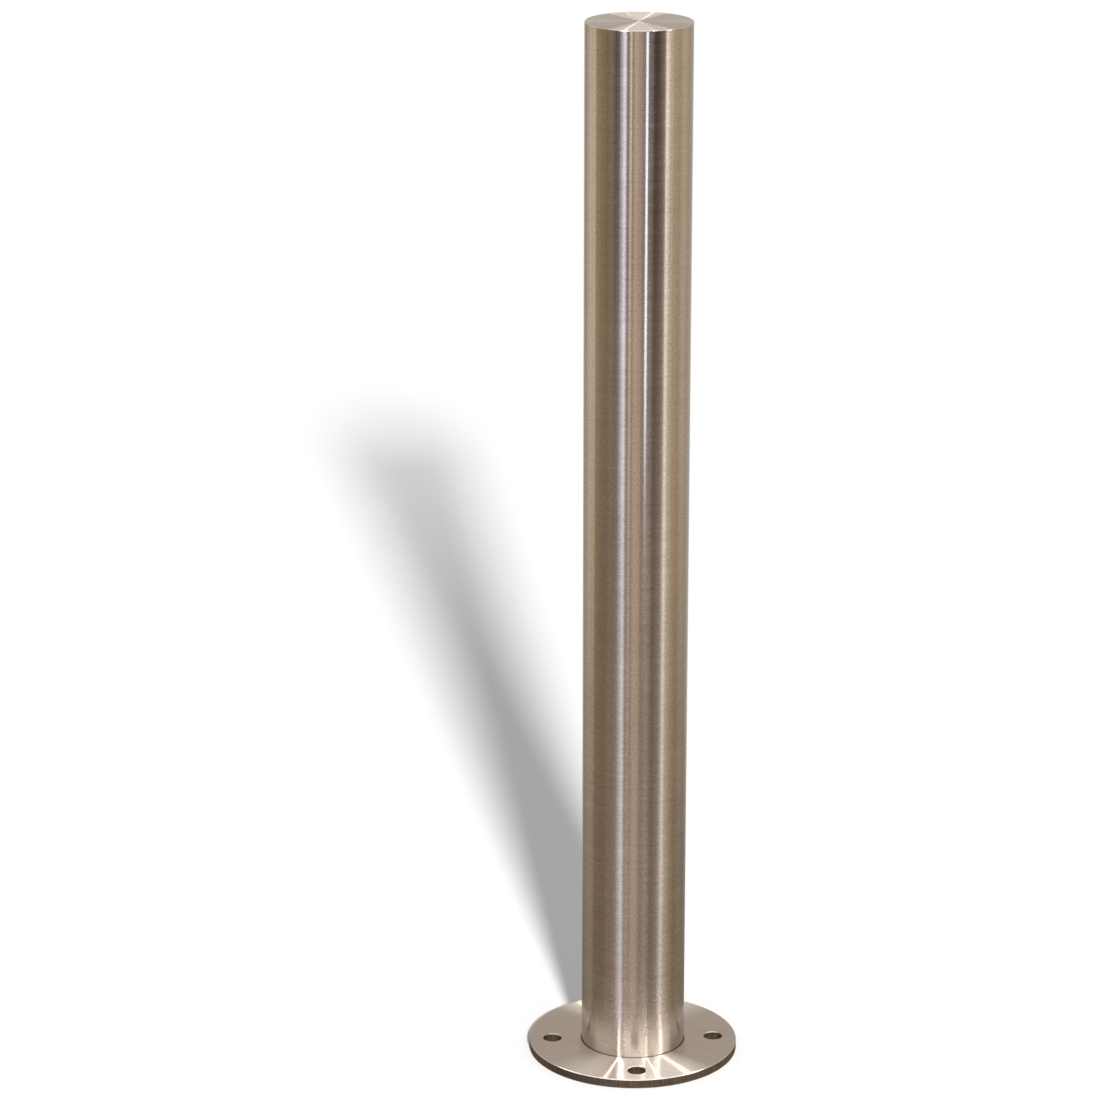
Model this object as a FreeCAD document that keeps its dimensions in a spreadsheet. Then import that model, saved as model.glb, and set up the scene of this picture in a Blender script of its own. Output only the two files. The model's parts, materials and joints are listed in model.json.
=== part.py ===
"""Surface-mounted steel safety bollard, as a parametric FreeCAD document.

A brushed stainless post stands in a round base flange with four anchor holes. The post is a welded tube
with a flat disc closing its top. It passes down into the flange's bore and is welded there from below,
so that only a thin shadow gap shows round its foot.

The frame is millimetres, +Z up, with the origin in the middle of the flange's underside, which is the
face that rests on the ground. The anchor holes lie on the X and Y axes.
"""

import FreeCAD, Part
import math
import os
import re

from FreeCAD import Vector
import Sketcher

DIMENSIONS = [
    # (alias, value, what it is)
    ("overall_height", 900.0, "ground to the top of the cap"),
    ("tube_diameter", 88.9, "outside diameter of the post tube, a 3.5 inch standard size"),
    ("tube_wall", 3.0, "wall of the post tube"),
    ("tube_setback", 3.0, "height of the tube's cut end above the flange's underside"),
    ("cap_thickness", 4.0, "thickness of the top disc"),
    ("cap_edge_radius", 1.0, "rounding of the top disc's upper edge"),
    ("cap_groove", 1.5, "leg of the weld groove on the tube and on the disc"),
    ("flange_diameter", 180.0, "diameter of the base flange"),
    ("flange_thickness", 8.0, "thickness of the base flange"),
    ("flange_bore", 90.0, "bore that the tube stands in"),
    ("flange_chamfer", 0.6, "chamfer on the flange's rim, at the top and the bottom"),
    ("bore_chamfer", 0.3, "chamfer on the top of the flange's bore"),
    ("hole_circle", 140.0, "pitch circle of the anchor holes"),
    ("hole_diameter", 16.0, "diameter of an anchor hole"),
    ("hole_count", 4, "number of anchor holes"),
    ("hole_chamfer", 0.5, "chamfer on each anchor hole, at the top and the bottom"),
    ("weld_root", 0.8, "how far the foot weld runs up the gap round the tube"),
    ("weld_leg", 2.4, "height of the foot weld against the flange's bore"),
    ("weld_reach", 2.4, "width of the foot weld across the tube's cut end"),
    ("weld_crown", 0.35, "bulge of the foot weld's face"),
    ("seam_width", 4.0, "width of the bead along the tube's seam, inside"),
    ("seam_height", 0.5, "height of the bead along the tube's seam, inside"),
]
VALUES = {alias: value for alias, value, _ in DIMENSIONS}
SHEET = "dimensions"
PARTS_FOLDER = "parts"

document = FreeCAD.newDocument("safety_bollard")


def make_sheet():
    """The spreadsheet that drives every sub-part."""
    sheet = document.addObject("Spreadsheet::Sheet", SHEET)
    for row, (alias, value, meaning) in enumerate(DIMENSIONS, start=1):
        sheet.set(f"A{row}", alias)
        sheet.set(f"B{row}", str(value))
        sheet.set(f"C{row}", meaning)
        sheet.setAlias(f"B{row}", alias)
    document.recompute()
    return sheet


sheet = make_sheet()


def cells(expression):
    """An expression in the sheet's aliases, written so that another object can read it."""
    return re.sub(
        "[a-z_]+",
        lambda word: f"<<{SHEET}>>.{word[0]}" if word[0] in VALUES else word[0],
        expression,
    )


def value_of(expression):
    """The number that an expression in the sheet's aliases gives at the dimensions above."""
    numbers = re.sub("[a-z_]+", lambda word: str(VALUES.get(word[0], word[0])), expression)
    return FreeCAD.Units.Quantity(numbers).Value


def point_of(across, up):
    """A point of a sketch, from its two expressions."""
    return Vector(value_of(across), value_of(up), 0)


def new_body(label):
    body = document.addObject("PartDesign::Body", label)
    body.Label = label
    return body


def origin_feature(body, role):
    return next(f for f in body.Origin.OriginFeatures if f.Role == role)


def new_sketch(body, name, plane):
    sketch = body.newObject("Sketcher::SketchObject", name)
    sketch.AttachmentSupport = [(origin_feature(body, plane), "")]
    sketch.MapMode = "FlatFace"
    return sketch


def bind(sketch, kind, place, name, expression):
    """Adds a dimension between the origin and a point, and drives it from the sheet."""
    value = value_of(expression)
    if abs(value) < 1e-9:
        axis = -2 if kind == "DistanceX" else -1
        sketch.addConstraint(Sketcher.Constraint("PointOnObject", *place, axis))
        return
    index = sketch.addConstraint(Sketcher.Constraint(kind, -1, 1, *place, value))
    sketch.renameConstraint(index, name)
    sketch.setExpression(f"Constraints.{name}", cells(expression))


def arc_about(centre, start, end):
    """The arc that runs anticlockwise about a centre from start to end."""
    circle = Part.Circle(centre, Vector(0, 0, 1), (start - centre).Length)
    angles = [math.atan2(tip.y - centre.y, tip.x - centre.x) for tip in (start, end)]
    return Part.ArcOfCircle(circle, *angles)


def outline(body, name, corners, arcs=None, plane="XZ_Plane"):
    """A closed sketch whose corners are pairs of expressions, across and up its plane, anticlockwise.

    Its sides are straight, apart from those in arcs, which gives the centre of a side's arc by the number
    of the corner that the side starts from. The corners and one coordinate of the centre fix the arc.
    """
    arcs = arcs or {}
    sketch = new_sketch(body, name, plane)
    points = [point_of(*corner) for corner in corners]
    for index, point in enumerate(points):
        following = points[(index + 1) % len(points)]
        if index in arcs:
            side = arc_about(point_of(*arcs[index]), point, following)
        else:
            side = Part.LineSegment(point, following)
        sketch.addGeometry(side, False)
    for index in range(len(points)):
        following = (index + 1) % len(points)
        sketch.addConstraint(Sketcher.Constraint("Coincident", index, 2, following, 1))
    for index, (across, up) in enumerate(corners):
        bind(sketch, "DistanceX", (index, 1), f"across{index}", across)
        bind(sketch, "DistanceY", (index, 1), f"up{index}", up)
    for index, (_, up) in arcs.items():
        bind(sketch, "DistanceY", (index, 3), f"centre{index}", up)
    return sketch


def turn(body, name, sketch, kind="PartDesign::Revolution", axis="V_Axis"):
    """Turns a sketch of the XZ plane once round an axis, the Z axis unless another is named."""
    solid = body.newObject(kind, name)
    solid.Profile = sketch
    solid.ReferenceAxis = (sketch, [axis])
    solid.Angle = 360
    document.recompute()
    return solid


# Heights and radii that several sub-parts share, as expressions in the sheet's aliases.
TUBE_RADIUS = "tube_diameter / 2"
TUBE_INSIDE = "(tube_diameter / 2 - tube_wall)"
TUBE_TOP = "(overall_height - cap_thickness)"
BORE_RADIUS = "flange_bore / 2"
PITCH_RADIUS = "hole_circle / 2"
HOLE_RADIUS = "hole_diameter / 2"


def make_post_tube():
    """Welded tube, cut square at the foot and bevelled at the top for the cap's weld.

    The bead of its lengthwise seam stands out inside, at the back of the post.
    """
    body = new_body("post_tube")
    wall = outline(
        body,
        "tube_wall_section",
        [
            (TUBE_INSIDE, "tube_setback"),
            (TUBE_RADIUS, "tube_setback"),
            (TUBE_RADIUS, f"{TUBE_TOP} - cap_groove"),
            (f"{TUBE_RADIUS} - cap_groove", TUBE_TOP),
            (TUBE_INSIDE, TUBE_TOP),
        ],
    )
    turn(body, "tube_turned", wall)

    half_width = "seam_width / 2"
    crest_y = f"({TUBE_INSIDE} - seam_height)"
    edge_y = f"sqrt({TUBE_INSIDE} ^ 2 - ({half_width}) ^ 2)"
    rise = f"({edge_y} - {crest_y})"
    bead_radius = f"((({half_width}) ^ 2 + {rise} ^ 2) / (2 * {rise}))"
    bead = outline(
        body,
        "seam_bead_section",
        [
            (half_width, edge_y),
            (half_width, f"{TUBE_INSIDE} + tube_wall / 2"),
            (f"-{half_width}", f"{TUBE_INSIDE} + tube_wall / 2"),
            (f"-{half_width}", edge_y),
        ],
        arcs={3: ("0", f"{crest_y} + {bead_radius}")},
        plane="XY_Plane",
    )
    bead.setExpression("AttachmentOffset.Base.z", cells("tube_setback"))
    length = body.newObject("PartDesign::Pad", "seam_bead")
    length.Profile = bead
    length.setExpression("Length", cells(f"{TUBE_TOP} - tube_setback"))
    body.Tip = length
    return body


def make_top_cap():
    """Flat disc, bevelled below for its weld and rounded at its upper edge."""
    body = new_body("top_cap")
    rounding = (f"{TUBE_RADIUS} - cap_edge_radius", "overall_height - cap_edge_radius")
    disc = outline(
        body,
        "disc_section",
        [
            ("0", TUBE_TOP),
            (f"{TUBE_RADIUS} - cap_groove", TUBE_TOP),
            (TUBE_RADIUS, f"{TUBE_TOP} + cap_groove"),
            (TUBE_RADIUS, rounding[1]),
            (rounding[0], "overall_height"),
            ("0", "overall_height"),
        ],
        arcs={3: rounding},
    )
    turn(body, "disc_turned", disc)
    return body


def make_cap_weld():
    """Ring of weld metal that fills the groove between the tube and the disc, ground flush."""
    body = new_body("cap_weld")
    groove = outline(
        body,
        "groove_section",
        [
            (TUBE_RADIUS, f"{TUBE_TOP} - cap_groove"),
            (TUBE_RADIUS, f"{TUBE_TOP} + cap_groove"),
            (f"{TUBE_RADIUS} - cap_groove", TUBE_TOP),
        ],
    )
    turn(body, "groove_filled", groove)
    return body


def make_base_flange():
    """Round plate with a bore for the tube and a circle of anchor holes, all edges broken."""
    body = new_body("base_flange")
    plate = outline(
        body,
        "plate_section",
        [
            (BORE_RADIUS, "0"),
            ("flange_diameter / 2 - flange_chamfer", "0"),
            ("flange_diameter / 2", "flange_chamfer"),
            ("flange_diameter / 2", "flange_thickness - flange_chamfer"),
            ("flange_diameter / 2 - flange_chamfer", "flange_thickness"),
            (f"{BORE_RADIUS} + bore_chamfer", "flange_thickness"),
            (BORE_RADIUS, "flange_thickness - bore_chamfer"),
        ],
    )
    turn(body, "plate_turned", plate)

    half_hole = outline(
        body,
        "anchor_hole_section",
        [
            (PITCH_RADIUS, "0"),
            (f"{PITCH_RADIUS} + {HOLE_RADIUS} + hole_chamfer", "0"),
            (f"{PITCH_RADIUS} + {HOLE_RADIUS}", "hole_chamfer"),
            (f"{PITCH_RADIUS} + {HOLE_RADIUS}", "flange_thickness - hole_chamfer"),
            (f"{PITCH_RADIUS} + {HOLE_RADIUS} + hole_chamfer", "flange_thickness"),
            (PITCH_RADIUS, "flange_thickness"),
        ],
    )
    hole_axis = "Edge6"
    hole = turn(body, "anchor_hole", half_hole, "PartDesign::Groove", hole_axis)

    holes = body.newObject("PartDesign::PolarPattern", "anchor_holes")
    holes.Originals = [hole]
    holes.Axis = (origin_feature(body, "Z_Axis"), [""])
    holes.Angle = 360
    holes.setExpression("Occurrences", cells("hole_count"))
    body.Tip = holes
    return body


def make_foot_weld():
    """Ring of weld metal inside the flange's bore, under the tube's cut end, with a bulged lower face."""
    body = new_body("foot_weld")
    inner_x = f"({TUBE_RADIUS} - weld_reach)"
    low_z = "(tube_setback - weld_leg)"
    top_z = "(tube_setback + weld_root)"
    width = f"({BORE_RADIUS} - {inner_x})"
    chord = f"sqrt({width} ^ 2 + weld_leg ^ 2)"
    face_radius = f"(({chord} ^ 2 / 4 + weld_crown ^ 2) / (2 * weld_crown))"
    inward = f"({face_radius} - weld_crown) / {chord}"
    face_centre = (
        f"({BORE_RADIUS} + {inner_x}) / 2 + weld_leg * {inward}",
        f"tube_setback - weld_leg / 2 + {width} * {inward}",
    )
    section = outline(
        body,
        "weld_section",
        [
            (BORE_RADIUS, low_z),
            (BORE_RADIUS, top_z),
            (TUBE_RADIUS, top_z),
            (TUBE_RADIUS, "tube_setback"),
            (inner_x, "tube_setback"),
        ],
        arcs={4: face_centre},
    )
    turn(body, "weld_ring", section)
    return body


MAKERS = [
    make_base_flange,
    make_post_tube,
    make_top_cap,
    make_cap_weld,
    make_foot_weld,
]


def check(pieces):
    """Stops the build if anything in the document failed, or a sub-part isn't a sound solid."""
    for item in document.Objects:
        if {"Invalid", "Error"} & set(item.State):
            raise RuntimeError(f"{item.Label} failed: {item.State}")
    for piece in pieces:
        shape = piece.Shape
        if shape.isNull() or not shape.isValid() or not shape.Solids:
            raise RuntimeError(f"{piece.Label} is not a valid solid")


def main():
    pieces = [make() for make in MAKERS]
    document.recompute()
    check(pieces)
    os.makedirs(PARTS_FOLDER, exist_ok=True)
    for piece in pieces:
        piece.Shape.exportStep(os.path.join(PARTS_FOLDER, f"{piece.Label}.step"))
        print(f"{piece.Label}: {piece.Shape.Volume / 1000:.2f} cm3")


main()
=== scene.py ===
import json
import math

import bmesh
import bpy
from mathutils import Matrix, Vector


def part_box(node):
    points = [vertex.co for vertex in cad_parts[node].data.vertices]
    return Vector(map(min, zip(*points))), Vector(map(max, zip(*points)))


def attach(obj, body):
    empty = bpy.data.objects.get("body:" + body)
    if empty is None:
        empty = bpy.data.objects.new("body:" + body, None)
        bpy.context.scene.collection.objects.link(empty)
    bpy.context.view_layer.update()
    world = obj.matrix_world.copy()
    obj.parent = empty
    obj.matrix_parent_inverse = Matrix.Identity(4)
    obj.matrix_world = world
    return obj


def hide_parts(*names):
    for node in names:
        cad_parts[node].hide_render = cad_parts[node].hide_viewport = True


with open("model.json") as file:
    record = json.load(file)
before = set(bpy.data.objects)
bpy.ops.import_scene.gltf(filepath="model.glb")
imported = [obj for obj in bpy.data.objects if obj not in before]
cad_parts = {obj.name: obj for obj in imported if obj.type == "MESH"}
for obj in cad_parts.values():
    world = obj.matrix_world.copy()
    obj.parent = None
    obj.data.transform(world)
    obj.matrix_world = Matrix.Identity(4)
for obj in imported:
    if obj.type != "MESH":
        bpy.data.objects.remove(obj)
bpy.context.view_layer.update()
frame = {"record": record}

# The looks of a surface-mounted steel bollard: a welded tube with a flat cap, standing in a round flange.
# Metres, +Z up, the origin in the middle of the flange's underside. The main sizes come from the imported
# frame; the tube's wall, the roundings, the broken edges and the welds' shapes are given here.

MM = 0.001
MOUNTS = {mount["name"]: mount for mount in frame["record"]["mounts"]}

TUBE_LOW, TUBE_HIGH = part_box("post_tube")
CAP_LOW, CAP_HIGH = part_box("top_cap")
SEAM_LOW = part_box("cap_weld")[0]
FLANGE_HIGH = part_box("base_flange")[1]
WELD_LOW, WELD_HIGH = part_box("foot_weld")

POST_RADIUS = MOUNTS["post_outside"]["dims"]["r_mm"] * MM
TUBE_WALL = 3 * MM
TUBE_INSIDE = POST_RADIUS - TUBE_WALL
GROOVE = CAP_LOW.z - SEAM_LOW.z
CAP_ROUNDING = 1.0 * MM
FLANGE_RADIUS = FLANGE_HIGH.x
FLANGE_BORE = WELD_HIGH.x
RIM_BREAK = 0.6 * MM
BORE_BREAK = 0.3 * MM
HOLE_BREAK = 0.5 * MM
BOLT_CIRCLE = MOUNTS["anchor_holes"]["dims"]["pcd_mm"] / 2 * MM
HOLE_RADIUS = MOUNTS["anchor_holes"]["dims"]["hole_r_mm"] * MM
HOLE_COUNT = MOUNTS["anchor_holes"]["dims"]["count"]
FINE_TURN = 256


# ---------------------------------------------------------------- camera

CAMERA_PLACE = (-0.1706, -3.2685, 1.4762)
CAMERA_PITCH_DOWN = 17.37
CAMERA_TURN_RIGHT = 1.726
CAMERA_LENS = 133.6
SENSOR_WIDTH = 36.0
FARTHEST_SEEN = 60.0


def make_camera():
    data = bpy.data.cameras.new("camera")
    data.lens = CAMERA_LENS
    data.sensor_width = SENSOR_WIDTH
    data.clip_end = FARTHEST_SEEN
    camera = bpy.data.objects.new("camera", data)
    camera.location = CAMERA_PLACE
    camera.rotation_euler = (
        math.radians(90.0 - CAMERA_PITCH_DOWN),
        0.0,
        math.radians(-CAMERA_TURN_RIGHT),
    )
    bpy.context.scene.collection.objects.link(camera)
    bpy.context.scene.camera = camera


make_camera()
bpy.context.scene.view_settings.view_transform = "Standard"


# ---------------------------------------------------------------- node helpers


class Nodes:
    """A node tree, with short ways to add and join its nodes."""

    def __init__(self, tree):
        self.tree = tree

    def add(self, kind, **settings):
        node = self.tree.nodes.new(kind)
        for name, value in settings.items():
            setattr(node, name, value)
        return node

    def feed(self, socket, value):
        """Joins a socket to another, or gives it a number, a tuple or a colour."""
        if isinstance(value, bpy.types.NodeSocket):
            self.tree.links.new(value, socket)
        else:
            socket.default_value = value

    def math(self, operation, first, second=0.0, clamp=False):
        node = self.add("ShaderNodeMath", operation=operation, use_clamp=clamp)
        self.feed(node.inputs[0], first)
        self.feed(node.inputs[1], second)
        return node.outputs[0]

    def split(self, vector):
        node = self.add("ShaderNodeSeparateXYZ")
        self.feed(node.inputs[0], vector)
        return node.outputs

    def join(self, x, y, z):
        node = self.add("ShaderNodeCombineXYZ")
        for socket, value in zip(node.inputs, (x, y, z)):
            self.feed(socket, value)
        return node.outputs[0]

    def total(self, *parts):
        """The sum of values, each given with its share."""
        total = 0.0
        for value, share in parts:
            total = self.math("ADD", total, self.math("MULTIPLY", value, share))
        return total

    def scaled(self, vector, factor):
        """A place made larger or smaller, or a colour made lighter or darker."""
        node = self.add("ShaderNodeVectorMath", operation="SCALE")
        self.feed(node.inputs[0], vector)
        self.feed(node.inputs["Scale"], factor)
        return node.outputs[0]

    def mix(self, share, low, high):
        """Something between two colours (r, g, b), or between two sockets, by a share from 0 to 1."""
        node = self.add("ShaderNodeMix", data_type="RGBA")
        self.feed(node.inputs["Factor"], share)
        colour_inputs = node.inputs[6:8]
        for socket, value in zip(colour_inputs, (low, high)):
            self.feed(socket, (*value, 1.0) if isinstance(value, tuple) else value)
        colour_output = node.outputs[2]
        return colour_output

    def rescale(self, value, low, high, to_low=0.0, to_high=1.0):
        """A value moved from one range to another, and held inside it."""
        node = self.add("ShaderNodeMapRange")
        for name, number in (
            ("Value", value),
            ("From Min", low),
            ("From Max", high),
            ("To Min", to_low),
            ("To Max", to_high),
        ):
            self.feed(node.inputs[name], number)
        return node.outputs["Result"]

    def noise(self, vector, detail=3.0, roughness=0.6):
        node = self.add("ShaderNodeTexNoise", noise_dimensions="3D")
        self.feed(node.inputs["Vector"], vector)
        node.inputs["Scale"].default_value = 1.0
        node.inputs["Detail"].default_value = detail
        node.inputs["Roughness"].default_value = roughness
        return node.outputs["Fac"]

    def vary(self, noise, low, high):
        """A number that follows a noise, from low to high."""
        return self.rescale(noise, 0.3, 0.7, low, high)

    def shade(self, noise, dark, light):
        """A colour that follows a noise, from dark to light."""
        return self.mix(self.rescale(noise, 0.35, 0.65), dark, light)

    def bump(self, shader, height, depth):
        """Tilts a shader's surface as if its height, from 0 to 1, went up to depth."""
        node = self.add("ShaderNodeBump")
        node.inputs["Strength"].default_value = 1.0
        node.inputs["Distance"].default_value = depth
        self.feed(node.inputs["Height"], height)
        self.feed(shader.inputs["Normal"], node.outputs[0])

    def ramp(self, share, stops):
        """Colours by a share from 0 to 1; stops are (share, (r, g, b))."""
        node = self.add("ShaderNodeValToRGB")
        self.feed(node.inputs[0], share)
        elements = node.color_ramp.elements
        for place, colour in stops[1:-1]:
            elements.new(place).color = (*colour, 1.0)
        elements[0].position, elements[-1].position = stops[0][0], stops[-1][0]
        elements[0].color, elements[-1].color = (*stops[0][1], 1.0), (*stops[-1][1], 1.0)
        return node.outputs[0]


# ---------------------------------------------------------------- studio

# What the steel mirrors, turn by turn round the post: the turn is 0 towards the camera and grows to the
# right, in degrees, and each stop has its colour. The tube's top mirrors the wall at eye level, and its
# foot mirrors the duller lower part.
WALL = [
    (-180, (0.80, 0.74, 0.68)),
    (-165, (0.60, 0.53, 0.46)),
    (-155, (0.36, 0.31, 0.26)),
    (-142, (0.52, 0.44, 0.36)),
    (-126, (0.74, 0.64, 0.52)),
    (-109, (0.80, 0.67, 0.52)),
    (-101, (0.46, 0.34, 0.21)),
    (-72, (0.29, 0.215, 0.15)),
    (-60, (0.33, 0.255, 0.19)),
    (-52, (0.13, 0.10, 0.09)),
    (-44, (0.19, 0.165, 0.16)),
    (-38, (0.62, 0.60, 0.66)),
    (-30, (1.20, 1.26, 1.60)),
    (-27, (0.30, 0.23, 0.21)),
    (-23, (0.30, 0.23, 0.21)),
    (-19, (1.30, 1.15, 1.04)),
    (-16, (0.42, 0.33, 0.28)),
    (-10, (0.76, 0.61, 0.52)),
    (-2, (0.62, 0.48, 0.39)),
    (9, (0.42, 0.33, 0.30)),
    (24, (0.17, 0.145, 0.13)),
    (32, (0.05, 0.04, 0.03)),
    (42, (0.11, 0.085, 0.065)),
    (55, (0.34, 0.28, 0.23)),
    (58, (1.45, 1.39, 1.33)),
    (64, (0.98, 0.86, 0.74)),
    (78, (0.62, 0.50, 0.38)),
    (95, (0.58, 0.45, 0.30)),
    (112, (0.68, 0.57, 0.46)),
    (131, (0.50, 0.42, 0.34)),
    (150, (0.52, 0.46, 0.40)),
    (180, (0.80, 0.74, 0.68)),
]
LOW_WALL = [
    (-180, (0.17, 0.135, 0.10)),
    (-130, (0.13, 0.10, 0.07)),
    (-80, (0.21, 0.16, 0.115)),
    (-50, (0.42, 0.33, 0.27)),
    (-45, (0.50, 0.42, 0.37)),
    (-38, (0.66, 0.62, 0.66)),
    (-31, (0.80, 0.76, 0.84)),
    (-27, (0.40, 0.32, 0.28)),
    (-18, (0.46, 0.34, 0.27)),
    (0, (0.70, 0.54, 0.41)),
    (9, (0.34, 0.26, 0.20)),
    (20, (0.44, 0.36, 0.31)),
    (32, (0.30, 0.22, 0.165)),
    (52, (0.42, 0.33, 0.265)),
    (57, (0.68, 0.62, 0.56)),
    (60, (1.05, 1.00, 0.95)),
    (67, (0.60, 0.51, 0.43)),
    (85, (0.38, 0.285, 0.205)),
    (102, (0.16, 0.12, 0.085)),
    (180, (0.17, 0.135, 0.10)),
]
STREAKS_ROUND = 24.0
STREAK_LIGHTNESS = (0.68, 1.32)
GROUND = (0.26, 0.19, 0.14)
CEILING = (0.62, 0.58, 0.54)
SKYLIGHT = (1.72, 1.66, 1.60)
ROOM_LIGHT = (0.42, 0.42, 0.42)
BACKGROUND = (1.0, 1.0, 1.0)

# Between which heights one part of the room turns into the next. A height here is the upward part of a
# mirrored ray's direction, from -1 to 1. The wall changes to its lower part at one pair of heights in front
# and at another at the sides, which begin between two turns.
WALL_CHANGE_FRONT = (-0.22, -0.41)
WALL_CHANGE_SIDES = (-0.36, -0.40)
SIDES_BEGIN = (66, 78)
GROUND_BEGINS = (-0.55, -0.90)
CEILING_BEGINS = (0.20, 0.50)
SKYLIGHT_BEGINS = (0.80, 0.86)

# The soft light over the wall in front: turn of its middle, half width, softness of its sides.
GLOW = (0.52, 0.47, 0.43)
GLOW_PLACE = (4, 54, 10)
GLOW_BEGINS = (0.20, 0.35)
GLOW_ENDS = (0.80, 0.70)

# The lamps round the post stand at this distance and face it.
LAMP_DISTANCE = 3.0

# Panels in that glow, which the flange mirrors by way of the post: turn, low end, width, brightness.
PANELS = [(-35, 1.8, 0.50, 32.0), (27, 2.3, 0.20, 60.0), (65, 1.8, 0.24, 52.0)]

# Wide panels that light only the flange: turn, low end, width, brightness.
WIDE_PANELS = [(-75, 1.0, 3.2, 1.3), (2, 1.0, 2.8, 5.2), (62, 1.0, 3.4, 3.3)]
PANEL_TOP = 3.9
PANEL_COLOUR = (0.92, 0.96, 1.0)

# Strip lamps that draw the star on the cap and on the flange: turn, width, brightness.
CAP_STRIPS = [(-35, 0.10, 60.0), (29, 0.06, 20.0), (66, 0.06, 25.0)]
FLANGE_STRIPS = [(-35, 0.06, 140.0), (29, 0.05, 170.0), (66, 0.05, 170.0)]
STRIP_ENDS = (1.3, 2.7)
STRIP_COLOUR = (1.0, 0.95, 0.90)


def glow_share(nodes, turn, up):
    """How much of the glow shows in a direction, from 0 to 1."""
    middle, half, soft = (math.radians(angle) for angle in GLOW_PLACE)
    away = nodes.math("ABSOLUTE", nodes.math("SUBTRACT", turn, middle))
    inside = nodes.rescale(away, half + soft, half - soft)
    height = nodes.math("MULTIPLY", nodes.rescale(up, *GLOW_BEGINS), nodes.rescale(up, *GLOW_ENDS))
    return nodes.math("MULTIPLY", inside, height)


def make_room():
    """Plain white for the camera and for plain surfaces; a warm banded wall for what the steel mirrors."""
    world = bpy.data.worlds.new("room")
    bpy.context.scene.world = world
    world.use_nodes = True
    nodes = Nodes(world.node_tree)
    world.node_tree.nodes.clear()
    direction = nodes.split(nodes.add("ShaderNodeTexCoord").outputs["Generated"])
    turn = nodes.math("ARCTAN2", direction[0], nodes.math("MULTIPLY", direction[1], -1.0))
    share = nodes.rescale(turn, -math.pi, math.pi)
    high_wall, low_wall = (
        nodes.ramp(share, [((stop + 180) / 360, colour) for stop, colour in stops])
        for stops in (WALL, LOW_WALL)
    )
    up = direction[2]
    sideways = nodes.rescale(nodes.math("ABSOLUTE", turn), *(math.radians(angle) for angle in SIDES_BEGIN))
    in_front = nodes.rescale(up, *WALL_CHANGE_FRONT)
    at_the_sides = nodes.rescale(up, *WALL_CHANGE_SIDES)
    wall = nodes.mix(nodes.mix(sideways, in_front, at_the_sides), high_wall, low_wall)
    wall = nodes.mix(nodes.rescale(up, *GROUND_BEGINS), wall, GROUND)
    streaks = nodes.noise(nodes.join(nodes.math("MULTIPLY", turn, STREAKS_ROUND), 0.0, 0.0), detail=2.0)
    wall = nodes.scaled(wall, nodes.vary(streaks, *STREAK_LIGHTNESS))
    wall = nodes.mix(nodes.rescale(up, *CEILING_BEGINS), wall, CEILING)
    wall = nodes.mix(glow_share(nodes, turn, up), wall, GLOW)
    wall = nodes.mix(nodes.rescale(up, *SKYLIGHT_BEGINS), wall, SKYLIGHT)
    paths = nodes.add("ShaderNodeLightPath")
    plain = nodes.mix(paths.outputs["Is Camera Ray"], ROOM_LIGHT, BACKGROUND)
    seen = nodes.mix(paths.outputs["Is Glossy Ray"], plain, wall)
    background = nodes.add("ShaderNodeBackground")
    nodes.feed(background.inputs["Color"], seen)
    output = nodes.add("ShaderNodeOutputWorld")
    nodes.feed(output.inputs["Surface"], background.outputs[0])


def make_floor():
    """Pale floor that shows only from above, and that the steel doesn't mirror."""
    material = bpy.data.materials.new("pale_floor")
    material.use_nodes = True
    nodes = Nodes(material.node_tree)
    material.node_tree.nodes.clear()
    pale = nodes.add("ShaderNodeBsdfDiffuse")
    pale.inputs["Color"].default_value = (0.92, 0.92, 0.92, 1.0)
    clear = nodes.add("ShaderNodeBsdfTransparent")
    sides = nodes.add("ShaderNodeMixShader")
    nodes.feed(sides.inputs[0], nodes.add("ShaderNodeNewGeometry").outputs["Backfacing"])
    nodes.feed(sides.inputs[1], pale.outputs[0])
    nodes.feed(sides.inputs[2], clear.outputs[0])
    output = nodes.add("ShaderNodeOutputMaterial")
    nodes.feed(output.inputs["Surface"], sides.outputs[0])

    half, below_the_flange = 14.0, 0.05 * MM
    mesh = bpy.data.meshes.new("floor")
    corners = [(-half, -half, 0), (half, -half, 0), (half, half, 0), (-half, half, 0)]
    mesh.from_pydata(corners, [], [(0, 1, 2, 3)])
    mesh.materials.append(material)
    floor = bpy.data.objects.new("floor", mesh)
    floor.location.z = -below_the_flange
    floor.visible_glossy = False
    bpy.context.scene.collection.objects.link(floor)


def make_lamp(name, place, aim, size, power, colour, lit):
    """A soft box that the camera doesn't see, and that lights one collection of pieces."""
    data = bpy.data.lights.new(name, "AREA")
    data.shape = "RECTANGLE"
    data.size, data.size_y = size
    data.energy = power
    data.color = colour
    lamp = bpy.data.objects.new(name, data)
    lamp.location = place
    lamp.rotation_euler = (Vector(aim) - Vector(place)).to_track_quat("-Z", "Y").to_euler()
    lamp.visible_camera = False
    lamp.light_linking.receiver_collection = lit
    bpy.context.scene.collection.objects.link(lamp)


def make_sun():
    """Soft light from in front, which lays the post's shadow on the floor. The steel doesn't mirror it."""
    height, turn, softness = 24.5, 6.3, 5.0
    data = bpy.data.lights.new("sun", "SUN")
    data.energy = 5.15
    data.angle = math.radians(softness)
    sun = bpy.data.objects.new("sun", data)
    sun.rotation_euler = (math.radians(90.0 - height), 0.0, math.radians(turn))
    sun.visible_glossy = False
    bpy.context.scene.collection.objects.link(sun)


# What each lamp lights: the cap, the post below its cap, the post with its cap, or the flange.
LID = bpy.data.collections.new("lid")
POST = bpy.data.collections.new("post")
COLUMN = bpy.data.collections.new("column")
BASE = bpy.data.collections.new("base")


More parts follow.
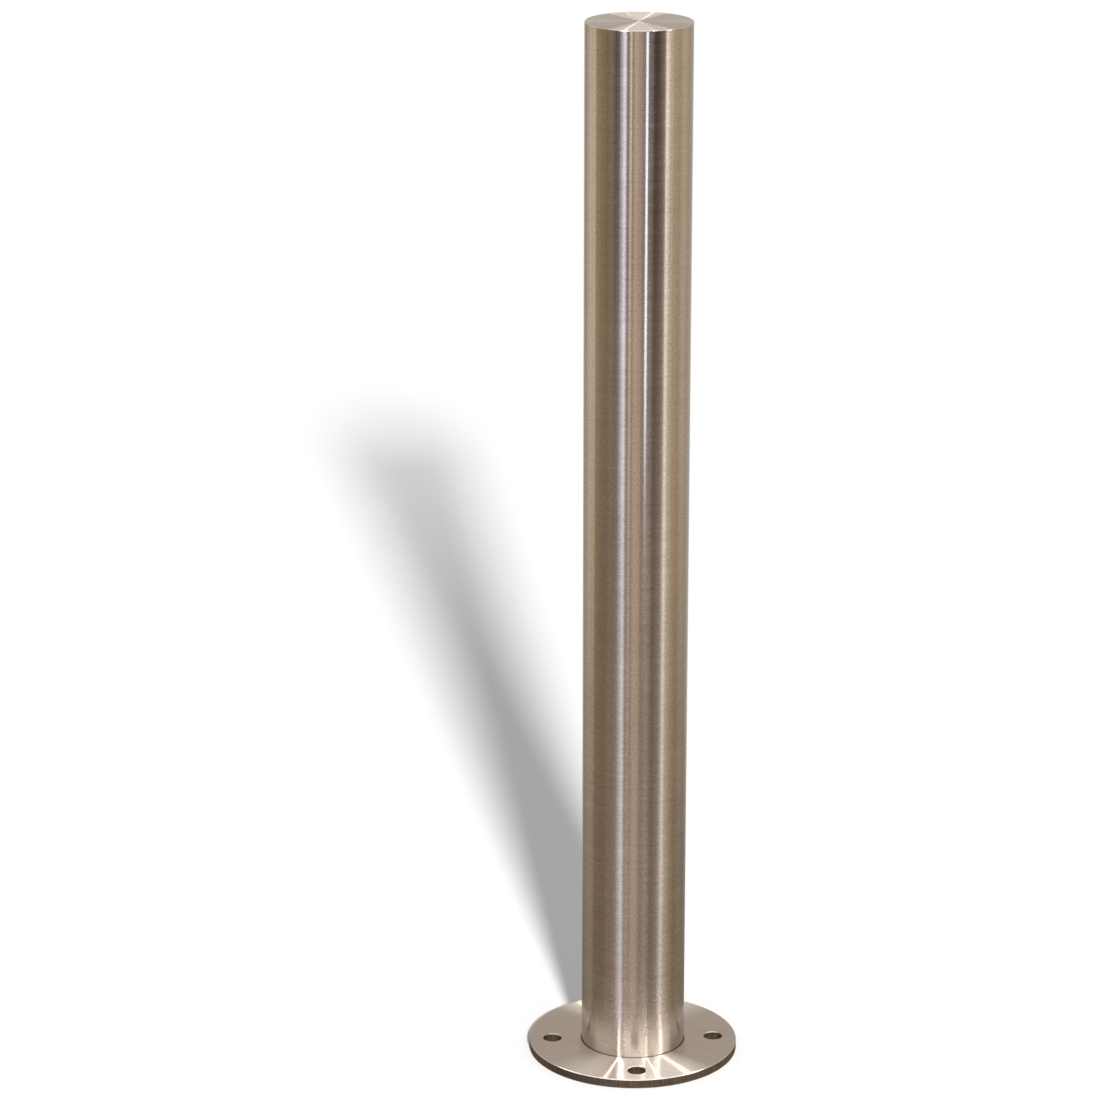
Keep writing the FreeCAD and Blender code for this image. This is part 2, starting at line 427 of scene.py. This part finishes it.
def make_blue_line():
    """A short narrow lamp close in front, which the upper half of the post mirrors as a thin cold line."""
    distance, turn, low, high, width = 0.55, math.radians(14.2), 0.38, 0.92, 0.044
    power, colour = 0.150, (0.66, 0.78, 1.0)
    place = (distance * math.sin(turn), -distance * math.cos(turn), (low + high) / 2)
    make_lamp("blue_line", place, (0, 0, place[2]), (width, high - low), power, colour, COLUMN)


def upright_lamp(name, turn, low, high, width, brightness, colour, lit):
    """A lamp that faces the post, between two heights."""
    x = LAMP_DISTANCE * math.sin(math.radians(turn))
    y = -LAMP_DISTANCE * math.cos(math.radians(turn))
    middle = (low + high) / 2
    power = brightness * math.pi * width * (high - low)
    make_lamp(name, (x, y, middle), (0, 0, middle), (width, high - low), power, colour, lit)


def make_strips():
    """Narrow lamps in front, which the cap and the flange draw as rays."""
    low, high = STRIP_ENDS
    for strips, lit in ((CAP_STRIPS, LID), (FLANGE_STRIPS, BASE)):
        for turn, width, brightness in strips:
            upright_lamp("strip", turn, low, high, width, brightness, STRIP_COLOUR, lit)


def make_panels():
    """Tall panels above what the camera sees in the post, and dimmer wide ones for the flange."""
    for panels, lit in ((PANELS, POST), (WIDE_PANELS, BASE)):
        for turn, low, width, brightness in panels:
            upright_lamp("panel", turn, low, PANEL_TOP, width, brightness, PANEL_COLOUR, lit)


def make_studio():
    make_room()
    make_floor()
    make_sun()
    make_blue_line()
    make_strips()
    make_panels()


make_studio()


# ---------------------------------------------------------------- mesh helpers


def new_piece(name, mesh, replaced, materials, lit_with=()):
    """A visible piece of the object, which stands for CAD nodes and rides on the only body."""
    for material in materials:
        mesh.materials.append(material)
    piece = bpy.data.objects.new(name, mesh)
    bpy.context.scene.collection.objects.link(piece)
    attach(piece, "root")
    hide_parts(*replaced)
    for group in lit_with:
        group.objects.link(piece)


def smooth(mesh, sharp_above=35.0):
    mesh.polygons.foreach_set("use_smooth", [True] * len(mesh.polygons))
    mesh.set_sharp_from_angle(angle=math.radians(sharp_above))
    mesh.update()


def rounded(corner, before, after, radius, steps):
    """Points of a small arc that takes a corner of a profile off, between its two neighbours."""
    corner, before, after = Vector(corner), Vector(before), Vector(after)
    start = corner + (before - corner).normalized() * radius
    end = corner + (after - corner).normalized() * radius
    points = []
    for step in range(steps + 1):
        t = step / steps
        points.append(tuple(start * (1 - t) ** 2 + corner * 2 * t * (1 - t) + end * t**2))
    return points


def rounded_profile(corners, steps=4):
    """A closed profile of (radius, height) from corners (radius, height, rounding). One step is flat."""
    points = []
    for index, (r, z, rounding) in enumerate(corners):
        if not rounding:
            points.append((r, z))
            continue
        before = corners[index - 1][:2]
        after = corners[(index + 1) % len(corners)][:2]
        points += rounded((r, z), before, after, rounding, steps)
    return points


# A face is upright if its normal rises less than the first of these, and level if it rises as much as the
# second.
UPRIGHT, LEVEL = 0.05, 0.95


def finish(mesh, index, chosen):
    """Gives the faces that chosen(face) picks the material with that index."""
    for face in mesh.polygons:
        if chosen(face):
            face.material_index = index


def spin(name, profile, turns=FINE_TURN, centre=(0.0, 0.0)):
    """Turns a closed profile of (radius, height) once round an upright axis. Points at radius 0 meet."""
    mesh = bpy.data.meshes.new(name)
    work = bmesh.new()
    rings = []
    for r, z in profile:
        if r < 1e-9:
            rings.append([work.verts.new((*centre, z))] * turns)
            continue
        ring = []
        for step in range(turns):
            angle = 2 * math.pi * step / turns
            x = centre[0] + r * math.cos(angle)
            y = centre[1] + r * math.sin(angle)
            ring.append(work.verts.new((x, y, z)))
        rings.append(ring)
    for low, high in zip(rings, rings[1:] + rings[:1]):
        for step in range(turns):
            following = (step + 1) % turns
            corners = [low[step], low[following], high[following], high[step]]
            distinct = list(dict.fromkeys(corners))
            if len(distinct) > 2:
                work.faces.new(distinct)
    bmesh.ops.recalc_face_normals(work, faces=work.faces)
    work.to_mesh(mesh)
    work.free()
    return mesh


def cut(mesh, cutters):
    """Takes other meshes out of a mesh."""
    target = bpy.data.objects.new("target", mesh)
    bpy.context.scene.collection.objects.link(target)
    tools = []
    for cutter in cutters:
        tool = bpy.data.objects.new("cutter", cutter)
        bpy.context.scene.collection.objects.link(tool)
        modifier = target.modifiers.new("cut", "BOOLEAN")
        modifier.object = tool
        modifier.operation = "DIFFERENCE"
        modifier.solver = "EXACT"
        tools.append(tool)
    graph = bpy.context.evaluated_depsgraph_get()
    result = bpy.data.meshes.new_from_object(target.evaluated_get(graph))
    for item in [target, *tools]:
        bpy.data.objects.remove(item)
    return result


# ---------------------------------------------------------------- steel


BRUSH_DEPTH = 0.0015 * MM
RAY_ANISOTROPY = 0.92
RAY_SHARE = 0.45


def new_material(name):
    """A metal, with its node helper and its shader."""
    material = bpy.data.materials.new(name)
    material.use_nodes = True
    shader = material.node_tree.nodes["Principled BSDF"]
    shader.inputs["Metallic"].default_value = 1.0
    return material, Nodes(material.node_tree), shader


def add_rays(material, nodes, shader, colour, roughness):
    """Mixes in a second lobe, very narrow along the brush lines, which draws each lamp as a thin ray."""
    rays = nodes.add("ShaderNodeBsdfAnisotropic")
    rays.inputs["Color"].default_value = (*colour, 1.0)
    rays.inputs["Roughness"].default_value = roughness
    rays.inputs["Anisotropy"].default_value = RAY_ANISOTROPY
    both = nodes.add("ShaderNodeMixShader")
    both.inputs[0].default_value = RAY_SHARE
    nodes.feed(both.inputs[1], shader.outputs[0])
    nodes.feed(both.inputs[2], rays.outputs[0])
    nodes.feed(material.node_tree.nodes["Material Output"].inputs["Surface"], both.outputs[0])


def brushed_steel(name, dark, light, roughness, speckle=0.0, coarser_below=0.0, ray_roughness=0.0):
    """Steel brushed in circles round the Z axis.

    The brush lines are noise that is long round the axis and fine across it, at several scales. They tilt
    the surface and vary its colour and roughness a little, and broad worn patches vary the last two. The
    roughness grows by coarser_below from the post's top to its foot. speckle is the height of the small
    dents that break the lines up. With ray_roughness, part of the shine is the lobe that draws rays.
    """
    material, nodes, shader = new_material(name)
    x, y, z = nodes.split(nodes.add("ShaderNodeTexCoord").outputs["Object"])
    squares = nodes.math("ADD", nodes.math("MULTIPLY", x, x), nodes.math("MULTIPLY", y, y))
    radius = nodes.math("SQRT", squares)
    round_x = nodes.math("DIVIDE", x, radius)
    round_y = nodes.math("DIVIDE", y, radius)
    outward_or_down = nodes.math("SUBTRACT", radius, z)

    def lines(around, across, detail):
        """Noise with so many changes round the axis, and so many to a metre across the lines."""
        vector = nodes.join(
            nodes.math("MULTIPLY", round_x, around),
            nodes.math("MULTIPLY", round_y, around),
            nodes.math("MULTIPLY", outward_or_down, across),
        )
        return nodes.noise(vector, detail=detail)

    fine = lines(around=5.0, across=1500.0, detail=2.0)
    coarse = lines(around=0.9, across=260.0, detail=4.0)
    broad = lines(around=0.6, across=14.0, detail=2.0)
    scratches = lines(around=20.0, across=1200.0, detail=2.0)

    tone = nodes.total((coarse, 0.20), (broad, 0.15), (scratches, 0.65))
    nodes.feed(shader.inputs["Base Color"], nodes.mix(nodes.rescale(tone, 0.40, 0.60), dark, light))

    spread = nodes.vary(nodes.total((coarse, 0.6), (broad, 0.4)), roughness - 0.02, roughness + 0.02)
    coarser = nodes.rescale(z, TUBE_HIGH.z, TUBE_LOW.z, 0.0, coarser_below)
    nodes.feed(shader.inputs["Roughness"], nodes.math("ADD", spread, coarser))

    heights = [(fine, 1.0), (coarse, 0.5)]
    if speckle:
        heights.append((lines(around=80.0, across=1200.0, detail=1.0), speckle))
    nodes.bump(shader, nodes.total(*heights), BRUSH_DEPTH)

    shader.inputs["Anisotropic"].default_value = 1.0
    shader.inputs["Anisotropic Rotation"].default_value = 0.25
    if ray_roughness:
        add_rays(material, nodes, shader, light, ray_roughness)
    return material


def cut_edge_painted_shade(name):
    """The sides of the plate and its holes: dull and striped from top to bottom by cutting, and dark brown as
    painted shade, which stands in for the shaded floor and hollows that these sides mirror.
    """
    material, nodes, shader = new_material(name)
    x, y, z = nodes.split(nodes.add("ShaderNodeTexCoord").outputs["Object"])
    across, along = 900.0, 60.0
    place = nodes.join(
        nodes.math("MULTIPLY", x, across),
        nodes.math("MULTIPLY", y, across),
        nodes.math("MULTIPLY", z, along),
    )
    stripes = nodes.noise(place, detail=3.0)
    # Painted shade: this dark brown stands in for the shade round the plate's foot and inside its holes,
    # which these sides mirror.
    nodes.feed(shader.inputs["Base Color"], nodes.shade(stripes, (0.12, 0.092, 0.07), (0.20, 0.158, 0.124)))
    nodes.feed(shader.inputs["Roughness"], nodes.vary(stripes, 0.42, 0.55))
    nodes.bump(shader, stripes, 0.05 * MM)
    return material


def polished_edge(name):
    """The broken edges, which the deburring left smooth and bright, with faint marks."""
    material, nodes, shader = new_material(name)
    place = nodes.add("ShaderNodeTexCoord").outputs["Object"]
    marks = nodes.noise(nodes.scaled(place, 400.0), detail=2.0)
    nodes.feed(shader.inputs["Base Color"], nodes.shade(marks, (0.66, 0.63, 0.60), (0.78, 0.75, 0.72)))
    nodes.feed(shader.inputs["Roughness"], nodes.vary(marks, 0.14, 0.20))
    return material


def mill_finish(name):
    """Steel as the mill leaves it, where nobody brushed it: dull grey with faint clouds and pits."""
    material, nodes, shader = new_material(name)
    place = nodes.add("ShaderNodeTexCoord").outputs["Object"]
    clouds = nodes.noise(nodes.scaled(place, 35.0), detail=6.0)
    pits = nodes.noise(nodes.scaled(place, 900.0), detail=2.0)
    share = nodes.rescale(nodes.math("ADD", clouds, pits), 0.8, 1.2)
    nodes.feed(shader.inputs["Base Color"], nodes.mix(share, (0.36, 0.345, 0.325), (0.47, 0.455, 0.43)))
    nodes.feed(shader.inputs["Roughness"], nodes.vary(clouds, 0.40, 0.52))
    nodes.bump(shader, pits, 0.01 * MM)
    return material


def weld_metal(name):
    """Bare weld metal: dull, uneven, and tinted straw to blue by its heat."""
    material, nodes, shader = new_material(name)
    place = nodes.add("ShaderNodeTexCoord").outputs["Object"]
    cloud = nodes.noise(nodes.scaled(place, 160.0), detail=5.0)
    tint = [
        (0.30, (0.20, 0.18, 0.20)),
        (0.45, (0.34, 0.28, 0.22)),
        (0.58, (0.46, 0.35, 0.22)),
        (0.75, (0.50, 0.45, 0.40)),
    ]
    nodes.feed(shader.inputs["Base Color"], nodes.ramp(cloud, tint))
    nodes.feed(shader.inputs["Roughness"], nodes.vary(cloud, 0.38, 0.55))
    nodes.bump(shader, cloud, 0.05 * MM)
    return material


TUBE_STEEL = brushed_steel(
    "tube_brushed",
    dark=(0.52, 0.47, 0.42),
    light=(0.67, 0.62, 0.57),
    roughness=0.13,
    speckle=3.2,
    coarser_below=0.09,
)
CAP_STEEL = brushed_steel(
    "cap_brushed",
    dark=(0.62, 0.58, 0.545),
    light=(0.72, 0.68, 0.645),
    roughness=0.30,
    ray_roughness=0.24,
)
FLANGE_STEEL = brushed_steel(
    "flange_brushed",
    dark=(0.57, 0.505, 0.44),
    light=(0.68, 0.605, 0.54),
    roughness=0.33,
    ray_roughness=0.24,
)
CUT_STEEL_PAINTED_SHADE = cut_edge_painted_shade("cut_edge_painted_shade")
EDGE_STEEL = polished_edge("polished_edge")
MILL_STEEL = mill_finish("mill_finish")
WELD_STEEL = weld_metal("weld_bare")


# ---------------------------------------------------------------- pieces


def make_tube():
    """The post: brushed outside, cut square at its foot, and bevelled at its top for the cap's weld."""
    foot_break = 0.25 * MM
    profile = rounded_profile(
        [
            (TUBE_INSIDE, TUBE_LOW.z, foot_break),
            (POST_RADIUS, TUBE_LOW.z, foot_break),
            (POST_RADIUS, CAP_LOW.z - GROOVE, 0),
            (POST_RADIUS - GROOVE, CAP_LOW.z, 0),
            (TUBE_INSIDE, CAP_LOW.z, 0),
        ]
    )
    mesh = spin("tube", profile)
    smooth(mesh)
    mill, halfway = 1, (POST_RADIUS + TUBE_INSIDE) / 2
    finish(mesh, mill, lambda face: face.center.xy.length < halfway)
    new_piece("tube", mesh, ["post_tube"], [TUBE_STEEL, MILL_STEEL], [POST, COLUMN])


def make_tube_seam():
    """The rippled bead of the tube's lengthwise weld, which stands out inside, at the back."""
    width, height, sunk, ripple = 4.0 * MM, 0.5 * MM, 1.0 * MM, 5.0 * MM
    rows_to_a_ripple, columns, bend, depth = 6, 8, 0.35, 0.14
    low, high = TUBE_LOW.z + 0.3 * MM, CAP_LOW.z
    steps = round((high - low) / ripple) * rows_to_a_ripple
    work = bmesh.new()
    sections = []
    for step in range(steps + 1):
        z = low + (high - low) * step / steps
        section = [work.verts.new((-width / 2, TUBE_INSIDE + sunk, z))]
        for column in range(columns + 1):
            across = 2 * column / columns - 1
            wave = math.cos(2 * math.pi * (z / ripple + bend * across**2))
            crest = height * (1 - across**2) * (1 - depth + depth * wave)
            x = across * width / 2
            section.append(work.verts.new((x, math.sqrt(TUBE_INSIDE**2 - x**2) - crest, z)))
        section.append(work.verts.new((width / 2, TUBE_INSIDE + sunk, z)))
        sections.append(section)
    for below, above in zip(sections, sections[1:]):
        for index in range(len(below)):
            after = (index + 1) % len(below)
            work.faces.new([below[index], below[after], above[after], above[index]])
    work.faces.new(sections[0])
    work.faces.new(sections[-1])
    bmesh.ops.recalc_face_normals(work, faces=work.faces)
    mesh = bpy.data.meshes.new("tube_seam")
    work.to_mesh(mesh)
    work.free()
    smooth(mesh, sharp_above=50.0)
    new_piece("tube_seam", mesh, ["post_tube"], [WELD_STEEL])


def make_cap():
    """Flat disc with a rounded upper edge, bevelled below for its weld."""
    profile = rounded_profile(
        [
            (0.0, CAP_LOW.z, 0),
            (POST_RADIUS - GROOVE, CAP_LOW.z, 0),
            (POST_RADIUS, CAP_LOW.z + GROOVE, 0),
            (POST_RADIUS, CAP_HIGH.z, CAP_ROUNDING),
            (0.0, CAP_HIGH.z, 0),
        ]
    )
    mesh = spin("cap", profile)
    smooth(mesh)
    mill, edge, side = 1, 2, 3
    finish(mesh, mill, lambda face: face.center.z < CAP_LOW.z + 0.1 * GROOVE)
    finish(mesh, edge, lambda face: UPRIGHT <= face.normal.z < LEVEL)
    finish(mesh, side, lambda face: abs(face.normal.z) < UPRIGHT)
    materials = [CAP_STEEL, MILL_STEEL, EDGE_STEEL, TUBE_STEEL]
    new_piece("cap", mesh, ["top_cap"], materials, [LID, COLUMN])


def make_cap_seam():
    """The ring of weld between the tube and the cap, ground flush and brushed with the tube."""
    profile = [
        (POST_RADIUS - GROOVE, CAP_LOW.z),
        (POST_RADIUS, CAP_LOW.z - GROOVE),
        (POST_RADIUS, CAP_LOW.z + GROOVE),
    ]
    mesh = spin("cap_seam", profile)
    smooth(mesh)
    new_piece("cap_seam", mesh, ["cap_weld"], [TUBE_STEEL], [POST, COLUMN])


def make_flange():
    """Round plate with its edges broken, a bore for the tube and a circle of anchor holes."""
    thickness = FLANGE_HIGH.z
    profile = rounded_profile(
        [
            (FLANGE_BORE, 0.0, 0),
            (FLANGE_RADIUS, 0.0, RIM_BREAK),
            (FLANGE_RADIUS, thickness, RIM_BREAK),
            (FLANGE_BORE, thickness, BORE_BREAK),
        ],
        steps=1,
    )
    plate = spin("flange", profile)
    proud = 1.0 * MM
    hole = [
        (0.0, -proud),
        (HOLE_RADIUS + HOLE_BREAK + proud, -proud),
        (HOLE_RADIUS, HOLE_BREAK),
        (HOLE_RADIUS, thickness - HOLE_BREAK),
        (HOLE_RADIUS + HOLE_BREAK + proud, thickness + proud),
        (0.0, thickness + proud),
    ]
    cutters = []
    for index in range(HOLE_COUNT):
        angle = 2 * math.pi * index / HOLE_COUNT
        centre = (BOLT_CIRCLE * math.cos(angle), BOLT_CIRCLE * math.sin(angle))
        cutters.append(spin("hole", hole, turns=72, centre=centre))
    mesh = cut(plate, cutters)
    smooth(mesh, sharp_above=30.0)
    side, mill, edge = 1, 2, 3
    rim = FLANGE_RADIUS - 2 * RIM_BREAK
    finish(mesh, side, lambda face: abs(face.normal.z) < UPRIGHT)
    finish(mesh, mill, lambda face: face.normal.z < -LEVEL)
    finish(mesh, edge, lambda face: UPRIGHT <= face.normal.z < LEVEL and face.center.xy.length > rim)
    materials = [FLANGE_STEEL, CUT_STEEL_PAINTED_SHADE, MILL_STEEL, EDGE_STEEL]
    new_piece("flange", mesh, ["base_flange"], materials, [BASE])


def make_foot_bead():
    """The weld that holds the tube in the flange, laid from below: a bulged face marked by its beads."""
    reach, crown, ripple, bend = 2.4 * MM, 0.35 * MM, 0.12 * MM, 2.0
    face_steps, ripple_count, turns = 8, 90, 720
    outer = Vector((FLANGE_BORE, WELD_LOW.z))
    inner = Vector((POST_RADIUS - reach, TUBE_LOW.z))
    outward = Vector((inner.y - outer.y, outer.x - inner.x)).normalized() * -1
    face = []
    for step in range(1, face_steps):
        t = step / face_steps
        face.append(tuple(inner.lerp(outer, t) + outward * crown * 4 * t * (1 - t)))
    profile = [
        tuple(outer),
        (FLANGE_BORE, WELD_HIGH.z),
        (POST_RADIUS, WELD_HIGH.z),
        (POST_RADIUS, TUBE_LOW.z),
        tuple(inner),
        *face,
    ]
    mesh = spin("foot_bead", profile, turns=turns)
    first_face_ring = len(profile) - len(face)
    for vertex in mesh.vertices:
        ring, step = divmod(vertex.index, turns)
        if ring < first_face_ring:
            continue
        t = (ring - first_face_ring + 1) / face_steps
        turn = 2 * math.pi * step / turns
        dip = ripple * 4 * t * (1 - t) * (0.5 - 0.5 * math.cos(ripple_count * turn + bend * t))
        radial = Vector((math.cos(turn), math.sin(turn), 0.0))
        vertex.co -= radial * outward.x * dip + Vector((0.0, 0.0, outward.y * dip))
    smooth(mesh, sharp_above=50.0)
    new_piece("foot_bead", mesh, ["foot_weld"], [WELD_STEEL])


make_tube()
make_tube_seam()
make_cap()
make_cap_seam()
make_flange()
make_foot_bead()
